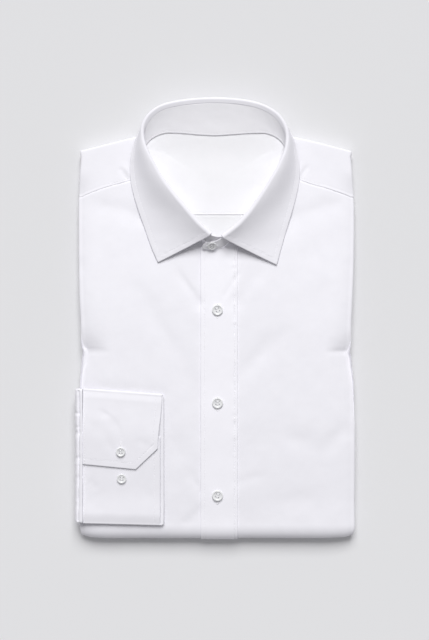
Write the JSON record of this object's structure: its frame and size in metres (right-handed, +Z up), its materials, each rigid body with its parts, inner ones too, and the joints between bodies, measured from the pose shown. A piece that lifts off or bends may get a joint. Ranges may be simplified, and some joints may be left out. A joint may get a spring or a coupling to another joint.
{
  "type": "folded dress shirt",
  "caption": "White long-sleeved dress shirt folded face up into a flat pack, collar standing, tail folded under and one buttoned cuff laid on the front.",
  "frame": {"origin": "middle of the pack's bounding box, on the surface it lies on", "axes": "+Y from the folded tail to the collar, +X towards the wearer's left side, +Z up from the surface"},
  "size_m": [0.2809, 0.4429, 0.035],
  "materials": {
    "shirt_cloth": "smooth fine white woven cotton, faint cool cast, slight sheen",
    "collar_cloth": "the same white cloth, stiffened, with topstitched edges",
    "button": "pearly pale grey resin, raised rim, glossy"
  },
  "bodies": {
    "root": {"folded_layers": "shirt_cloth", "front_right": "shirt_cloth", "front_left": "shirt_cloth", "placket": "shirt_cloth", "yoke": "shirt_cloth", "yoke_lining": "shirt_cloth", "back_panel": "shirt_cloth", "collar_stand": "collar_cloth", "collar_leaf": "collar_cloth", "cuff_right": "collar_cloth", "sleeve_right": "shirt_cloth", "button_collar": "button", "button_front_1": "button", "button_front_2": "button", "button_front_3": "button", "button_cuff_1": "button", "button_cuff_2": "button"}
  },
  "joints": []
}
